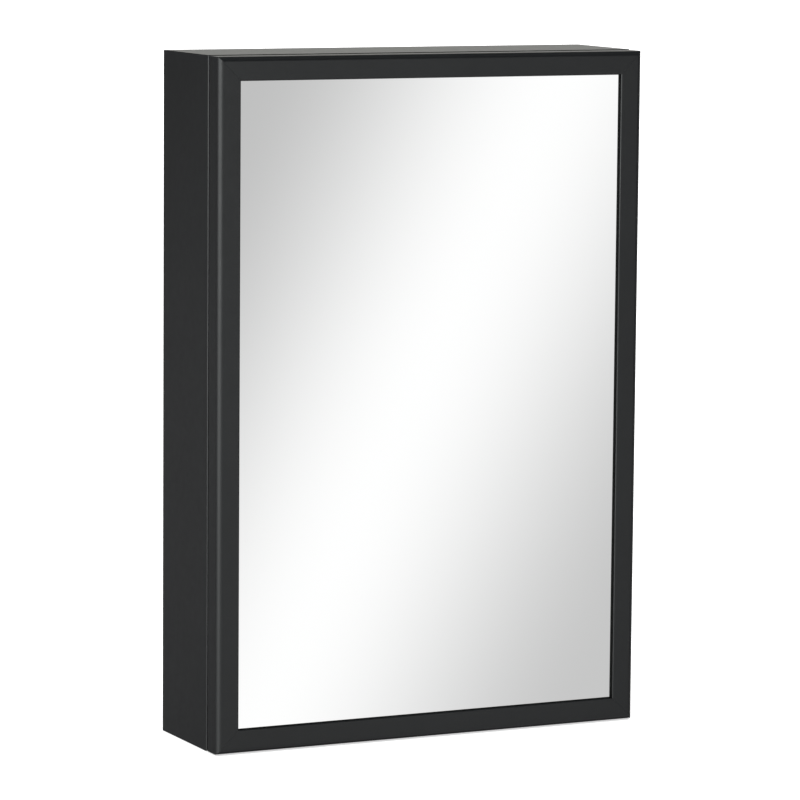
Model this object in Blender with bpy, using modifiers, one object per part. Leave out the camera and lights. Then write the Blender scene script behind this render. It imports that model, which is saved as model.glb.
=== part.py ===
"""Wall-hung medicine cabinet with a mirrored door.

Aluminium cabinet of four mitred box profiles with a steel back sheet, two glass shelves on pins,
and one mirrored door in a mitred frame that swings on two concealed single-pin hinges at its left.

Frame: +Z up, the mirror faces -Y, the wall is at +Y, the origin is at the centre of the base.
Lengths are in millimetres. Points are first given in cabinet coordinates (x from the left face,
y back from the door's front face, z up from the base) and place() turns them into metres.
"""

import math

import bmesh
import bpy
from mathutils import Matrix, Vector

MM = 0.001

# Driving dimensions
WIDTH = 406.0
HEIGHT = 600.0
DEPTH = 122.0

# Door: a hollow frame profile whose lip holds the mirror, closed at the rear by a sheet
DOOR_DEPTH = 21.5
DOOR_CLEARANCE = 0.5  # the door stops this far short of the cabinet's top and base
DOOR_GAP = 1.5  # between the door's rear and the cabinet's front edges
FACE_WIDTH = 20.4
CHAMBER_WIDTH = 14.0
FRAME_WALL = 1.4
FRAME_ROUND = 4.5  # outer front edge
REAR_ROUND = 2.4  # outer rear edge, which passes the cabinet as the door turns
LIP_DEPTH = 3.0
LIP_ROUND = 0.8
REBATE_INNER = 8.0
REBATE_DEPTH = 1.2
MIRROR_THICKNESS = 4.0
MIRROR_FRONT = 3.3
MIRROR_EDGE = 14.4
BOARD_FRONT = 7.6
BOARD_REAR = 20.1
DOOR_SHEET = 0.9
DOOR_SHEET_FRONT = DOOR_DEPTH - REBATE_DEPTH + 0.15
DOOR_SHEET_REAR = DOOR_SHEET_FRONT + DOOR_SHEET
DOOR_SHEET_EDGE = 8.3

# Cabinet body: a hollow side profile with a groove for the back sheet
BODY_FRONT = DOOR_DEPTH + DOOR_GAP
SIDE_THICKNESS = 12.0
SIDE_WALL = 1.4
SIDE_ROUND = 1.2
SIDE_INNER_ROUND = 0.5
SIDE_RIB = 69.0
GROOVE_FRONT = DEPTH - 5.5
GROOVE_REAR = DEPTH - 4.0
GROOVE_FLOOR = 7.0
BACK_SHEET = 1.2
BACK_SHEET_EDGE = 7.3
KEYHOLE_SPREAD = 100.0
KEYHOLE_Z = 536.0
KEYHOLE_RADIUS = 5.5
KEYHOLE_SLOT = 5.0
KEYHOLE_RISE = 13.0
LOWER_HOLE_Z = 60.0
LOWER_HOLE_RADIUS = 2.6

MITRE_GAP = 0.12  # each cut end stands back this far from the corner's diagonal
KEY_CLEARANCE = 0.3  # round the corner keys, inside the profiles
CABINET_KEY = (45.0, 8.6, 28.8)  # arm length, arm thickness and depth
DOOR_KEY = (40.0, 10.6, 13.6)

# Shelves
PIN_HOLE_RADIUS = 2.6
PIN_RADIUS = 2.45
PIN_PEG, PIN_COLLAR, PIN_STUB = 9.0, 1.5, 6.0
COLLAR_RADIUS = 4.0
PIN_COLUMNS = (50.0, 98.0)
PIN_ROWS = tuple(140.0 + 32.0 * row for row in range(11))
SHELF_ROWS = (2, 8)
SHELF_FRONT, SHELF_REAR = 32.0, 113.0
SHELF_THICKNESS = 5.0
SHELF_SIDE_GAP = 2.2

# Hinges: a gooseneck arm on the cabinet's side, turning on a pin inside the door's stile
HINGE_X, HINGE_Y = 4.8, 10.5
HINGE_HEIGHTS = (90.0, 510.0)
ARM_HEIGHT = 22.0
ARM_THICKNESS = 1.6
ARM_BEND = 2.2
ARM_NECK = 18.6
ARM_SHOULDER = BODY_FRONT + 4.5  # where the arm turns in behind the cabinet's front edge
ARM_END = BODY_FRONT + 42.0
EYE_RADIUS = 2.5
EYE_BORE = 1.35
HINGE_PIN_RADIUS = 1.2
HINGE_PIN_LENGTH = 43.0
POCKET_LEFT, POCKET_RIGHT = 1.6, 21.5
POCKET_FRONT = 7.45
POCKET_HEIGHT = 25.0
BLOCK_LEFT, BLOCK_RIGHT = 1.7, 12.3
BLOCK_FRONT = 5.0
BLOCK_REAR = DOOR_DEPTH - 2.9
BLOCK_HEIGHT = 44.0
BLOCK_NOTCH = 24.6
BLOCK_WEB = 7.4
BLOCK_SCREW_X = HINGE_X + 0.1
BLOCK_SCREW_OFFSET = 17.0
BLOCK_SCREW_LENGTH = 6.8
ARM_SCREW_DEPTHS = (BODY_FRONT + 20.0, BODY_FRONT + 34.0)

# Screws: a low pan head over a plain shank
HEAD_RADIUS = 2.2
HEAD_HEIGHT = 0.95
SHANK_RADIUS = 1.15
SCREW_HOLE = 1.3
SCREW_SEAT = 0.05  # between a screw's head and what it holds
CROSS_REACH, CROSS_HALF, CROSS_DEPTH = 1.2, 0.25, 0.5
SHEET_SCREW_INSET = 10.4

# Catch: a magnet in a small case on the right side, and its plate on the door
CATCH_Z = 300.0
CATCH_CENTRE = WIDTH - SIDE_THICKNESS - 7.0
CATCH_HALF_WIDTH, CATCH_HALF_HEIGHT = 6.8, 23.0
CATCH_FRONT, CATCH_REAR = BODY_FRONT + 0.4, BODY_FRONT + 17.5
CATCH_SCREW_DEPTH = BODY_FRONT + 9.5
CATCH_SCREW_HEIGHTS = (CATCH_Z - 17.7, CATCH_Z + 17.7)
MAGNET_FRONT, MAGNET_REAR = BODY_FRONT - 0.3, BODY_FRONT + 10.5
MAGNET_HALF_WIDTH, MAGNET_HALF_HEIGHT = 4.0, 12.0
MAGNET_CLEARANCE = 0.3
PLATE_HALF_WIDTH, PLATE_HALF_HEIGHT, PLATE_THICKNESS = 6.0, 17.0, 0.9
BUMPER_HEIGHTS = (60.0, 540.0)

PARTS = "medicine_cabinet"
CUTTERS = "cutters"

BLACK_COAT = ((0.030, 0.031, 0.032, 1), 0.42, 0.0)
SILVERED = ((0.90, 0.91, 0.91, 1), 0.02, 1.0)
CLEAR_GLASS = ((0.80, 0.88, 0.86, 1), 0.03, 0.0)
BARE_STEEL = ((0.62, 0.63, 0.65, 1), 0.30, 1.0)
BLACK_PLASTIC = ((0.035, 0.035, 0.036, 1), 0.50, 0.0)
RUBBER = ((0.060, 0.060, 0.060, 1), 0.70, 0.0)
CORE_BOARD = ((0.34, 0.25, 0.17, 1), 0.85, 0.0)


def place(x, y, z):
    """Cabinet coordinates in millimetres to world coordinates in metres."""
    return Vector((x - WIDTH / 2, y - DEPTH / 2, z)) * MM


def clear_scene():
    for obj in list(bpy.data.objects):
        bpy.data.objects.remove(obj, do_unlink=True)


def collection(name):
    found = bpy.data.collections.get(name)
    if found is None:
        found = bpy.data.collections.new(name)
        bpy.context.scene.collection.children.link(found)
    return found


def material(name, finish):
    """A sub-part's own material, in one of the finishes above."""
    colour, roughness, metallic = finish
    made = bpy.data.materials.new(name)
    made.use_nodes = True
    shader = made.node_tree.nodes["Principled BSDF"]
    shader.inputs["Base Color"].default_value = colour
    shader.inputs["Roughness"].default_value = roughness
    shader.inputs["Metallic"].default_value = metallic
    made.diffuse_color = colour
    return made


def add_part(name, mesh, finish):
    """Link a mesh as a named sub-part."""
    obj = bpy.data.objects.new(name, mesh)
    mesh.name = name
    mesh.materials.clear()
    mesh.materials.append(material(name, finish))
    collection(PARTS).objects.link(obj)
    return obj


def mesh_from(bm):
    """The finished mesh, with its faces pointing out."""
    bmesh.ops.recalc_face_normals(bm, faces=bm.faces)
    if bm.calc_volume(signed=True) < 0:
        bmesh.ops.reverse_faces(bm, faces=bm.faces)
    mesh = bpy.data.meshes.new("shape")
    bm.to_mesh(mesh)
    bm.free()
    return mesh


def arc(centre, radius, start, end, steps):
    """Points round an arc, both ends included; angles in degrees."""
    points = []
    for step in range(steps + 1):
        angle = math.radians(start + (end - start) * step / steps)
        points.append((centre[0] + radius * math.cos(angle), centre[1] + radius * math.sin(angle)))
    return points


def extruded(loops, low, high, to_world):
    """A mesh of a flat outline (holes included) drawn in (a, b) and pulled from low to high."""
    curve = bpy.data.curves.new("outline", "CURVE")
    curve.dimensions = "2D"
    curve.fill_mode = "BOTH"
    curve.extrude = (high - low) / 2 * MM
    for loop in loops:
        spline = curve.splines.new("POLY")
        spline.points.add(len(loop) - 1)
        for point, (a, b) in zip(spline.points, loop):
            point.co = (a * MM, b * MM, 0, 1)
        spline.use_cyclic_u = True
    guide = bpy.data.objects.new("outline", curve)
    bpy.context.scene.collection.objects.link(guide)
    bpy.context.view_layer.update()
    evaluated = guide.evaluated_get(bpy.context.evaluated_depsgraph_get())
    mesh = bpy.data.meshes.new_from_object(evaluated)
    bpy.data.objects.remove(guide, do_unlink=True)
    bm = bmesh.new()
    bm.from_mesh(mesh)
    bmesh.ops.remove_doubles(bm, verts=bm.verts, dist=0.00001)
    middle = (low + high) / 2
    for vert in bm.verts:
        vert.co = to_world(vert.co.x / MM, vert.co.y / MM, vert.co.z / MM + middle)
    return mesh_from(bm)


def block(low, high):
    """A box between two corners in cabinet coordinates."""
    bm = bmesh.new()
    bmesh.ops.create_cube(bm, size=1)
    low, high = place(*low), place(*high)
    size = high - low
    bmesh.ops.transform(bm, matrix=Matrix.Diagonal((*size, 1)), verts=bm.verts)
    bmesh.ops.translate(bm, vec=(low + high) / 2, verts=bm.verts)
    return mesh_from(bm)


def bevel(obj, width, segments=2):
    modifier = obj.modifiers.new("rounded edges", "BEVEL")
    modifier.width = width * MM
    modifier.segments = segments
    modifier.limit_method = "ANGLE"
    modifier.angle_limit = math.radians(40)


def turned(name, profile, centre, axis, finish, steps=16):
    """A sub-part turned about an axis; the profile runs from its top at the axis to its bottom."""
    bm = bmesh.new()
    verts = [bm.verts.new((radius * MM, 0, height * MM)) for radius, height in profile]
    for first, second in zip(verts, verts[1:]):
        bm.edges.new((first, second))
    mesh = bpy.data.meshes.new("turned")
    bm.to_mesh(mesh)
    bm.free()
    obj = add_part(name, mesh, finish)
    obj.location = place(*centre)
    obj.rotation_euler = Vector(axis).to_track_quat("Z", "Y").to_euler()
    screw = obj.modifiers.new("turned", "SCREW")
    screw.axis = "Z"
    screw.steps = steps
    screw.render_steps = steps
    screw.use_merge_vertices = True
    screw.merge_threshold = 0.00001
    return obj


def rods(centres, radius, length, axis, sides=12):
    """One mesh of equal round rods, used to drill several holes in one go."""
    bm = bmesh.new()
    turn = Vector(axis).to_track_quat("Z", "Y").to_matrix().to_4x4()
    for centre in centres:
        matrix = Matrix.Translation(place(*centre)) @ turn
        bmesh.ops.create_cone(
            bm,
            cap_ends=True,
            segments=sides,
            radius1=radius * MM,
            radius2=radius * MM,
            depth=length * MM,
            matrix=matrix,
        )
    return mesh_from(bm)


def combine(obj, other_mesh, operation="DIFFERENCE"):
    """Cut other_mesh from the object, or join it on."""
    cutter = bpy.data.objects.new(f"{obj.name}_{operation.lower()}", other_mesh)
    cutter.hide_render = True
    cutter.display_type = "WIRE"
    collection(CUTTERS).objects.link(cutter)
    modifier = obj.modifiers.new(operation.lower(), "BOOLEAN")
    modifier.operation = operation
    modifier.solver = "EXACT"
    modifier.object = cutter


def screw_into(name, seat, direction, length):
    """A pan-head screw whose head sits on seat and whose shank points along direction."""
    head = [(0, HEAD_HEIGHT), (HEAD_RADIUS * 0.62, HEAD_HEIGHT), (HEAD_RADIUS, HEAD_HEIGHT * 0.4)]
    profile = head + [(HEAD_RADIUS, 0), (SHANK_RADIUS, 0), (SHANK_RADIUS, -length), (0, -length)]
    out = -Vector(direction)
    obj = turned(name, profile, seat, out, BARE_STEEL, 12)
    centre = Vector(seat) + out * HEAD_HEIGHT
    across = Vector((0, 0, 1))
    along = out.cross(across)
    for long_way, short_way in ((across, along), (along, across)):
        reach = long_way * CROSS_REACH + short_way * CROSS_HALF + out * CROSS_DEPTH
        reach = Vector([abs(value) for value in reach])
        combine(obj, block(centre - reach, centre + reach))


# ------------------------------------------------------------------ profiles


def door_profile():
    """The door frame's section: u in from the outer edge, y back from the front face."""
    outer = arc((FRAME_ROUND, FRAME_ROUND), FRAME_ROUND, 180, 270, 6)
    outer += arc((FACE_WIDTH - LIP_ROUND, LIP_ROUND), LIP_ROUND, 270, 360, 3)
    rebate = DOOR_DEPTH - REBATE_DEPTH
    outer += [(FACE_WIDTH, LIP_DEPTH), (CHAMBER_WIDTH, LIP_DEPTH), (CHAMBER_WIDTH, rebate)]
    outer += [(REBATE_INNER, rebate), (REBATE_INNER, DOOR_DEPTH)]
    outer += arc((REAR_ROUND, DOOR_DEPTH - REAR_ROUND), REAR_ROUND, 90, 180, 5)
    inside = CHAMBER_WIDTH - FRAME_WALL
    hollow = arc((FRAME_ROUND, FRAME_ROUND), FRAME_ROUND - FRAME_WALL, 180, 270, 4)
    hollow += [(inside, FRAME_WALL), (inside, rebate - FRAME_WALL)]
    hollow += [(REBATE_INNER - FRAME_WALL, rebate - FRAME_WALL)]
    hollow += [(REBATE_INNER - FRAME_WALL, DOOR_DEPTH - FRAME_WALL)]
    hollow += [(FRAME_WALL, DOOR_DEPTH - FRAME_WALL)]
    return [outer, hollow]


def side_profile():
    """The cabinet side's section: u in from the outer face, y back from the door's front."""
    outer = arc((SIDE_ROUND, BODY_FRONT + SIDE_ROUND), SIDE_ROUND, 180, 270, 3)
    inner_round = (SIDE_THICKNESS - SIDE_INNER_ROUND, BODY_FRONT + SIDE_INNER_ROUND)
    outer += arc(inner_round, SIDE_INNER_ROUND, 270, 360, 2)
    outer += [(SIDE_THICKNESS, GROOVE_FRONT), (GROOVE_FLOOR, GROOVE_FRONT)]
    outer += [(GROOVE_FLOOR, GROOVE_REAR), (SIDE_THICKNESS, GROOVE_REAR), (SIDE_THICKNESS, DEPTH)]
    outer += arc((SIDE_ROUND, DEPTH - SIDE_ROUND), SIDE_ROUND, 90, 180, 3)
    inside = SIDE_THICKNESS - SIDE_WALL
    hollows = []
    front = BODY_FRONT + SIDE_WALL
    for low, high in ((front, SIDE_RIB - SIDE_WALL), (SIDE_RIB, GROOVE_FRONT - SIDE_WALL)):
        hollows.append([(SIDE_WALL, low), (inside, low), (inside, high), (SIDE_WALL, high)])
    return [outer] + hollows


def rail(name, profile, side, clearance, finish):
    """One side of a mitred rectangle: left, right, top or bottom."""
    upright = side in ("left", "right")
    half = (HEIGHT / 2 - clearance) if upright else WIDTH / 2

    def to_world(u, y, t):
        end = half - u - MITRE_GAP
        along = end if t > 0 else -end
        if side == "left":
            return place(u, y, HEIGHT / 2 + along)
        if side == "right":
            return place(WIDTH - u, y, HEIGHT / 2 + along)
        if side == "top":
            return place(WIDTH / 2 + along, y, HEIGHT - clearance - u)
        return place(WIDTH / 2 + along, y, clearance + u)

    return add_part(name, extruded(profile, -1, 1, to_world), finish)


def corner_key(name, corner, sizes, front, clearance):
    """An L-shaped key inside two meeting profiles; corner is (right, top) as 0 or 1."""
    reach, thickness, depth = sizes
    inset = FRAME_WALL + KEY_CLEARANCE
    inner = inset + thickness
    outline = [(inset, inset), (reach, inset), (reach, inner), (inner, inner), (inner, reach)]
    outline.append((inset, reach))

    def to_world(a, b, y):
        x = WIDTH - a if corner[0] else a
        z = HEIGHT - clearance - b if corner[1] else clearance + b
        return place(x, y, z)

    add_part(name, extruded([outline], front, front + depth, to_world), BARE_STEEL)


CORNERS = (
    ("lower_left", (0, 0)),
    ("lower_right", (1, 0)),
    ("upper_left", (0, 1)),
    ("upper_right", (1, 1)),
)


# ------------------------------------------------------------------ cabinet body


def cabinet_rails():
    rails = {}
    for side in ("left", "right", "top", "bottom"):
        rails[side] = rail(f"cabinet_{side}_side", side_profile(), side, 0, BLACK_COAT)
    for side, wall in (("left", SIDE_THICKNESS), ("right", WIDTH - SIDE_THICKNESS)):
        holes = [(wall, y, z) for y in PIN_COLUMNS for z in PIN_ROWS]
        combine(rails[side], rods(holes, PIN_HOLE_RADIUS, 2 * SIDE_WALL + 1, (1, 0, 0)))
    screws = [(SIDE_THICKNESS, y, z) for y in ARM_SCREW_DEPTHS for z in HINGE_HEIGHTS]
    combine(rails["left"], rods(screws, SCREW_HOLE, 2 * SIDE_WALL + 1, (1, 0, 0)))
    screws = [(WIDTH - SIDE_THICKNESS, CATCH_SCREW_DEPTH, z) for z in CATCH_SCREW_HEIGHTS]
    combine(rails["right"], rods(screws, SCREW_HOLE, 2 * SIDE_WALL + 1, (1, 0, 0)))
    for name, corner in CORNERS:
        front = BODY_FRONT + SIDE_WALL + KEY_CLEARANCE
        corner_key(f"cabinet_key_{name}", corner, CABINET_KEY, front, 0)


def cabinet_back():
    """The back sheet in the sides' groove, with two keyhole slots and two lower holes."""
    front = (GROOVE_FRONT + GROOVE_REAR - BACK_SHEET) / 2
    low = (BACK_SHEET_EDGE, front, BACK_SHEET_EDGE)
    high = (WIDTH - BACK_SHEET_EDGE, front + BACK_SHEET, HEIGHT - BACK_SHEET_EDGE)
    sheet = add_part("cabinet_back_sheet", block(low, high), BLACK_COAT)
    slot_half = KEYHOLE_SLOT / 2
    start = math.degrees(math.asin(slot_half / KEYHOLE_RADIUS))
    for x in (WIDTH / 2 - KEYHOLE_SPREAD, WIDTH / 2 + KEYHOLE_SPREAD):
        keyhole = arc((0, 0), KEYHOLE_RADIUS, 90 - start, -270 + start, 16)
        keyhole += arc((0, KEYHOLE_RISE), slot_half, 180, 0, 6)

        def to_world(a, b, y, x=x):
            return place(x + a, y, KEYHOLE_Z + b)

        combine(sheet, extruded([keyhole], front - 1, front + BACK_SHEET + 1, to_world))
    lower = [(WIDTH / 2 + side * KEYHOLE_SPREAD, front, LOWER_HOLE_Z) for side in (-1, 1)]
    combine(sheet, rods(lower, LOWER_HOLE_RADIUS, 6, (0, 1, 0)))


def shelves():
    """Two glass shelves, each on four pins pushed into the sides."""
    inner_left, inner_right = SIDE_THICKNESS, WIDTH - SIDE_THICKNESS
    for level, row in zip(("lower", "upper"), SHELF_ROWS):
        z = PIN_ROWS[row]
        base = z + PIN_RADIUS + 0.1
        low = (inner_left + SHELF_SIDE_GAP, SHELF_FRONT, base)
        high = (inner_right - SHELF_SIDE_GAP, SHELF_REAR, base + SHELF_THICKNESS)
        bevel(add_part(f"{level}_glass_shelf", block(low, high), CLEAR_GLASS), 0.6, 1)
        for side, wall, inward in (("left", inner_left, 1), ("right", inner_right, -1)):
            for end, y in zip(("front", "rear"), PIN_COLUMNS):
                shelf_pin(f"{level}_shelf_pin_{side}_{end}", (wall, y, z), inward)


def shelf_pin(name, seat, inward):
    """A turned pin: a stub in the side's hole, a collar on the wall and a peg under the glass."""
    chamfer = 0.5
    profile = [(0, PIN_PEG), (PIN_RADIUS - chamfer, PIN_PEG), (PIN_RADIUS, PIN_PEG - chamfer)]
    profile += [(PIN_RADIUS, PIN_COLLAR), (COLLAR_RADIUS, PIN_COLLAR), (COLLAR_RADIUS, 0.15)]
    profile += [(PIN_RADIUS, 0.15), (PIN_RADIUS, chamfer - PIN_STUB)]
    profile += [(PIN_RADIUS - chamfer, -PIN_STUB), (0, -PIN_STUB)]
    turned(name, profile, seat, (inward, 0, 0), BARE_STEEL, 12)


def catch_block(half_width, front, rear, half_height):
    low = (CATCH_CENTRE - half_width, front, CATCH_Z - half_height)
    return block(low, (CATCH_CENTRE + half_width, rear, CATCH_Z + half_height))


def catch():
    """A magnet in a case that is open at its front, screwed to the right side."""
    body = catch_block(CATCH_HALF_WIDTH, CATCH_FRONT, CATCH_REAR, CATCH_HALF_HEIGHT)
    case = add_part("catch_case", body, BLACK_PLASTIC)
    bevel(case, 1.2, 2)
    wide, high = MAGNET_HALF_WIDTH, MAGNET_HALF_HEIGHT
    gap = MAGNET_CLEARANCE
    combine(case, catch_block(wide + gap, DOOR_DEPTH, MAGNET_REAR + gap, high + gap))
    magnet = catch_block(wide, MAGNET_FRONT, MAGNET_REAR, high)
    bevel(add_part("catch_magnet", magnet, BARE_STEEL), 0.4, 1)
    seat = CATCH_CENTRE - CATCH_HALF_WIDTH - SCREW_SEAT
    for level, z in zip(("lower", "upper"), CATCH_SCREW_HEIGHTS):
        combine(case, rods([(CATCH_CENTRE, CATCH_SCREW_DEPTH, z)], SCREW_HOLE, 30, (1, 0, 0)))
        screw_into(f"catch_screw_{level}", (seat, CATCH_SCREW_DEPTH, z), (1, 0, 0), 18.0)


# ------------------------------------------------------------------ hinges


def hinge_arm(name, height):
    """A strip bent into a gooseneck, with an eye for the pin."""
    half = ARM_THICKNESS / 2
    plate = SIDE_THICKNESS + 0.2 + half
    bend = ARM_BEND
    path = [(HINGE_X + EYE_RADIUS - 0.3, HINGE_Y)]
    path += arc((ARM_NECK - bend, HINGE_Y + bend), bend, -90, 0, 4)
    path += arc((ARM_NECK - bend, ARM_SHOULDER), bend, 0, 50, 3)
    path += arc((plate + bend, ARM_SHOULDER + 4.2), bend, 230, 180, 3)
    path.append((plate, ARM_END))

    def to_world(a, b, c):
        return place(a, b, height + c)

    reach = ARM_HEIGHT / 2
    outline = thick_line(path, half)
    arm = add_part(name, extruded([outline], -reach, reach, to_world), BARE_STEEL)
    combine(arm, rods([(HINGE_X, HINGE_Y, height)], EYE_RADIUS, ARM_HEIGHT, (0, 0, 1), 20), "UNION")
    combine(arm, rods([(HINGE_X, HINGE_Y, height)], EYE_BORE, ARM_HEIGHT + 4, (0, 0, 1), 16))
    screws = [(plate, y, height) for y in ARM_SCREW_DEPTHS]
    combine(arm, rods(screws, SCREW_HOLE, 6, (1, 0, 0)))


def thick_line(path, half):
    """The outline of a strip that follows a path, half its thickness to each side."""
    left, right = [], []
    for index, (x, y) in enumerate(path):
        before = Vector(path[max(index - 1, 0)])
        after = Vector(path[min(index + 1, len(path) - 1)])
        direction = (after - before).normalized()
        left.append((x - direction.y * half, y + direction.x * half))
        right.append((x + direction.y * half, y - direction.x * half))
    return left + right[::-1]


def hinges():
    for level, height in zip(("lower", "upper"), HINGE_HEIGHTS):
        hinge_arm(f"{level}_hinge_arm", height)
        for end, y in zip(("front", "rear"), ARM_SCREW_DEPTHS):
            seat = (SIDE_THICKNESS + 0.2 + ARM_THICKNESS + SCREW_SEAT, y, height)
            screw_into(f"{level}_arm_screw_{end}", seat, (-1, 0, 0), 7.0)
        hinge_block(f"{level}_hinge_block", height)
        half, radius, chamfer = HINGE_PIN_LENGTH / 2, HINGE_PIN_RADIUS, 0.3
        profile = [(0, half), (radius - chamfer, half), (radius, half - chamfer)]
        profile += [(radius, chamfer - half), (radius - chamfer, -half), (0, -half)]
        turned(f"{level}_hinge_pin", profile, (HINGE_X, HINGE_Y, height), (0, 0, 1), BARE_STEEL)
        for end, way in (("low", -1), ("high", 1)):
            seat = (BLOCK_SCREW_X, DOOR_DEPTH + SCREW_SEAT, height + way * BLOCK_SCREW_OFFSET)
            screw_into(f"{level}_block_screw_{end}", seat, (0, -1, 0), BLOCK_SCREW_LENGTH)


def hinge_block(name, height):
    """A cast block in the stile's hollow; its two lugs carry the pin above and below the arm."""
    half = BLOCK_HEIGHT / 2
    low = (BLOCK_LEFT, BLOCK_FRONT, height - half)
    high = (BLOCK_RIGHT, BLOCK_REAR, height + half)
    cast = add_part(name, block(low, high), BARE_STEEL)
    notch = BLOCK_NOTCH / 2
    combine(cast, block((0, BLOCK_WEB, height - notch), (SIDE_THICKNESS + 2, DOOR_DEPTH, height + notch)))
    combine(cast, rods([(HINGE_X, HINGE_Y, height)], HINGE_PIN_RADIUS + 0.1, 60, (0, 0, 1), 16))
    seats = [(BLOCK_SCREW_X, BLOCK_REAR, height + way * BLOCK_SCREW_OFFSET) for way in (-1, 1)]
    combine(cast, rods(seats, SCREW_HOLE, 8, (0, 1, 0)))


# ------------------------------------------------------------------ door


def sheet_screw_places():
    """Where the rear sheet's screws go: two on each side of the door."""
    places = {}
    for name, z in (("low", 200.0), ("high", 400.0)):
        places[f"left_{name}"] = (SHEET_SCREW_INSET, z)
        places[f"right_{name}"] = (WIDTH - SHEET_SCREW_INSET, z)
    for name, x in (("left", 110.0), ("right", WIDTH - 110.0)):
        places[f"top_{name}"] = (x, HEIGHT - DOOR_CLEARANCE - SHEET_SCREW_INSET)
        places[f"bottom_{name}"] = (x, DOOR_CLEARANCE + SHEET_SCREW_INSET)
    return places


def pocket(height):
    low = (POCKET_LEFT, POCKET_FRONT, height - POCKET_HEIGHT / 2)
    high = (POCKET_RIGHT, DOOR_DEPTH + 4, height + POCKET_HEIGHT / 2)
    return block(low, high)


def door_frame():
    screws = sheet_screw_places()
    for side in ("left", "right", "top", "bottom"):
        obj = rail(f"door_{side}_rail", door_profile(), side, DOOR_CLEARANCE, BLACK_COAT)
        holes = [(x, DOOR_SHEET_FRONT, z) for key, (x, z) in screws.items() if key.startswith(side)]
        combine(obj, rods(holes, SCREW_HOLE, 4, (0, 1, 0)))
        if side == "left":
            seats = []
            for height in HINGE_HEIGHTS:
                combine(obj, pocket(height))
                for way in (-1, 1):
                    seats.append((BLOCK_SCREW_X, DOOR_DEPTH, height + way * BLOCK_SCREW_OFFSET))
            combine(obj, rods(seats, SCREW_HOLE, 4, (0, 1, 0)))
    for name, corner in CORNERS:
        corner_key(f"door_key_{name}", corner, DOOR_KEY, BLOCK_FRONT, DOOR_CLEARANCE)


def panel(name, edge, front, rear, finish):
    """A flat rectangle in the door, edge in from the frame's outer edge on all four sides."""
    low = (edge, front, DOOR_CLEARANCE + edge)
    high = (WIDTH - edge, rear, HEIGHT - DOOR_CLEARANCE - edge)
    return add_part(name, block(low, high), finish)


def door_filling():
    """The mirror, the board behind it and the sheet that closes the door's rear."""
    mirror_rear = MIRROR_FRONT + MIRROR_THICKNESS
    bevel(panel("mirror", MIRROR_EDGE, MIRROR_FRONT, mirror_rear, SILVERED), 0.4, 1)
    board = panel("backing_board", MIRROR_EDGE, BOARD_FRONT, BOARD_REAR, CORE_BOARD)
    sheet = panel("door_rear_sheet", DOOR_SHEET_EDGE, DOOR_SHEET_FRONT, DOOR_SHEET_REAR, BLACK_COAT)
    for height in HINGE_HEIGHTS:
        combine(board, pocket(height))
        combine(sheet, pocket(height))
    places = sheet_screw_places()
    holes = [(x, DOOR_SHEET_FRONT, z) for x, z in places.values()]
    holes.append((CATCH_CENTRE, DOOR_SHEET_FRONT, CATCH_Z))
    combine(sheet, rods(holes, SCREW_HOLE, 4, (0, 1, 0)))
    combine(board, rods([(CATCH_CENTRE, BOARD_REAR, CATCH_Z)], SCREW_HOLE, 12, (0, 1, 0)))
    for key, (x, z) in places.items():
        screw_into(f"sheet_screw_{key}", (x, DOOR_SHEET_REAR + SCREW_SEAT, z), (0, -1, 0), 3.4)


def door_fittings():
    """The catch's plate with its screw, and two rubber bumpers on the right stile."""
    front = DOOR_SHEET_REAR + SCREW_SEAT
    body = catch_block(PLATE_HALF_WIDTH, front, front + PLATE_THICKNESS, PLATE_HALF_HEIGHT)
    plate = add_part("catch_plate", body, BARE_STEEL)
    bevel(plate, 0.25, 1)
    combine(plate, rods([(CATCH_CENTRE, front, CATCH_Z)], HEAD_RADIUS + 0.3, 6, (0, 1, 0), 16))
    screw_into("catch_plate_screw", (CATCH_CENTRE, front, CATCH_Z), (0, -1, 0), 5.0)
    for level, z in zip(("lower", "upper"), BUMPER_HEIGHTS):
        profile = [(0, 1.2), (2.2, 1.2), (2.8, 0.6), (2.8, SCREW_SEAT), (0, SCREW_SEAT)]
        turned(f"{level}_bumper", profile, (WIDTH - 4.0, DOOR_DEPTH, z), (0, 1, 0), RUBBER)


DOOR_PIECES = (
    "door_",
    "mirror",
    "backing_board",
    "sheet_screw",
    "catch_plate",
    "lower_bumper",
    "upper_bumper",
    "lower_hinge_block",
    "upper_hinge_block",
    "lower_hinge_pin",
    "upper_hinge_pin",
    "lower_block_screw",
    "upper_block_screw",
)


def hang_door():
    """Parent everything that swings to an empty on the hinge pins' axis."""
    axis = bpy.data.objects.new("door_axis", None)
    collection(PARTS).objects.link(axis)
    axis.location = place(HINGE_X, HINGE_Y, HEIGHT / 2)
    bpy.context.view_layer.update()
    for obj in collection(PARTS).objects:
        if obj.name.startswith(DOOR_PIECES) and obj is not axis:
            obj.parent = axis
            obj.matrix_parent_inverse = axis.matrix_world.inverted()


def main():
    clear_scene()
    cabinet_rails()
    cabinet_back()
    shelves()
    catch()
    hinges()
    door_frame()
    door_filling()
    door_fittings()
    hang_door()


main()
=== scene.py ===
"""Looks of the medicine cabinet: finer shells over the CAD frame, their materials, light and camera.

Lengths are in millimetres in cabinet coordinates (x from the left face, y back from the door's front
face, z up from the base); place() turns them into metres in the row frame.
"""

import math

import bmesh
import bpy
from mathutils import Matrix, Vector


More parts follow.
